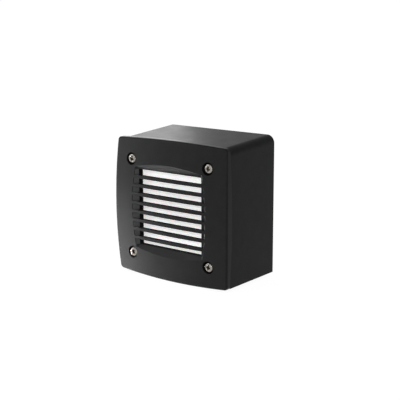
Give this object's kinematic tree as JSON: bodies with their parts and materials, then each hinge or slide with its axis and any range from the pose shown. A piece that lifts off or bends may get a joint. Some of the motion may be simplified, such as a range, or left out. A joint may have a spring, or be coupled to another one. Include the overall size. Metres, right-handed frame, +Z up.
{
  "type": "step light",
  "caption": "Square black surface-mounted outdoor wall light with a domed louvred cover, an opal diffuser and a flat twist-lock lamp, for lighting steps and paths.",
  "frame": {"origin": "on the wall plane, behind the centre of the cover", "axes": "+X to the right seen from the front, +Y back into the wall, +Z up"},
  "size_m": [0.1118, 0.0668, 0.1131],
  "materials": {
    "black_housing": "black moulded plastic with a fine satin grain",
    "black_cover": "black moulded plastic, satin",
    "black_inner": "black moulded plastic, matt",
    "silicone": "grey silicone",
    "black_rubber": "black rubber",
    "opal": "opal polycarbonate, evenly white",
    "stainless": "stainless steel, slightly warm",
    "zinc_steel": "zinc-plated steel",
    "brass_parts": "plain brass",
    "nylon": "natural nylon",
    "white_steel": "white paint on sheet steel",
    "holder_white": "white heat-resistant moulding",
    "lamp_white": "white moulded lamp case",
    "nickel_pins": "nickel-plated brass",
    "frosted": "frosted polycarbonate",
    "board_white": "circuit board with white solder resist",
    "led_yellow": "yellow phosphor on white emitters",
    "board_green": "circuit board with green solder resist",
    "components": "black and dark component sleeves",
    "lead_brown": "brown insulation",
    "lead_blue": "blue insulation"
  },
  "bodies": {
    "housing": {"housing": "black_housing", "threaded_inserts": "brass_parts", "wall_screw_seals": "silicone", "cable_grommet": "black_rubber", "mounting_plate": "white_steel", "plate_screws": "zinc_steel", "lampholder_body": "holder_white", "lampholder_contacts": "brass_parts", "lampholder_screws": "zinc_steel", "terminal_block": "nylon", "terminal_clamps": "brass_parts", "terminal_screws": "zinc_steel", "terminal_fixing_screw": "zinc_steel", "lead_live": "lead_brown", "lead_neutral": "lead_blue"},
    "cover": {"front_cover": "black_cover", "cover_gasket": "silicone", "diffuser": "opal", "diffuser_gasket": "silicone", "diffuser_frame": "black_inner", "diffuser_frame_screws": "zinc_steel", "screw_retainers": "nylon"},
    "lamp": {"lamp_body": "lamp_white", "lamp_pins": "nickel_pins", "lamp_lens": "frosted", "led_board": "board_white", "led_chips": "led_yellow", "driver_board": "board_green", "driver_components": "components"},
    "seal_1": {"screw_seal_1": "silicone"},
    "screw_1": {"cover_screw_1": "stainless"},
    "seal_2": {"screw_seal_2": "silicone"},
    "screw_2": {"cover_screw_2": "stainless"},
    "seal_3": {"screw_seal_3": "silicone"},
    "screw_3": {"cover_screw_3": "stainless"},
    "seal_4": {"screw_seal_4": "silicone"},
    "screw_4": {"cover_screw_4": "stainless"}
  },
  "joints": [
    {"name": "cover_lift", "type": "slide", "parent": "housing", "child": "cover", "axis": [0, -1, 0], "range_m": [0, 0.06]},
    {"name": "screw_1_rise", "type": "slide", "parent": "cover", "child": "seal_1", "axis": [0, -1, 0], "range_m": [0, 0.0105]},
    {"name": "screw_1_turn", "type": "hinge", "parent": "seal_1", "child": "screw_1", "pos_m": [-0.038, -0.06, 0.038], "axis": [0, -1, 0], "range_deg": [0, 5400]},
    {"name": "screw_2_rise", "type": "slide", "parent": "cover", "child": "seal_2", "axis": [0, -1, 0], "range_m": [0, 0.0105]},
    {"name": "screw_2_turn", "type": "hinge", "parent": "seal_2", "child": "screw_2", "pos_m": [0.038, -0.06, 0.038], "axis": [0, -1, 0], "range_deg": [0, 5400]},
    {"name": "screw_3_rise", "type": "slide", "parent": "cover", "child": "seal_3", "axis": [0, -1, 0], "range_m": [0, 0.0105]},
    {"name": "screw_3_turn", "type": "hinge", "parent": "seal_3", "child": "screw_3", "pos_m": [-0.038, -0.06, -0.038], "axis": [0, -1, 0], "range_deg": [0, 5400]},
    {"name": "screw_4_rise", "type": "slide", "parent": "cover", "child": "seal_4", "axis": [0, -1, 0], "range_m": [0, 0.0105]},
    {"name": "screw_4_turn", "type": "hinge", "parent": "seal_4", "child": "screw_4", "pos_m": [0.038, -0.06, -0.038], "axis": [0, -1, 0], "range_deg": [0, 5400]},
    {"name": "lamp_twist", "type": "hinge", "parent": "housing", "child": "lamp", "pos_m": [0, -0.02, 0], "axis": [0, -1, 0], "range_deg": [0, 12]}
  ],
  "couplings": [
    {"joint": "screw_1_turn", "follows": "screw_1_rise", "rad_per_m": 8975.9},
    {"joint": "screw_2_turn", "follows": "screw_2_rise", "rad_per_m": 8975.9},
    {"joint": "screw_3_turn", "follows": "screw_3_rise", "rad_per_m": 8975.9},
    {"joint": "screw_4_turn", "follows": "screw_4_rise", "rad_per_m": 8975.9}
  ]
}
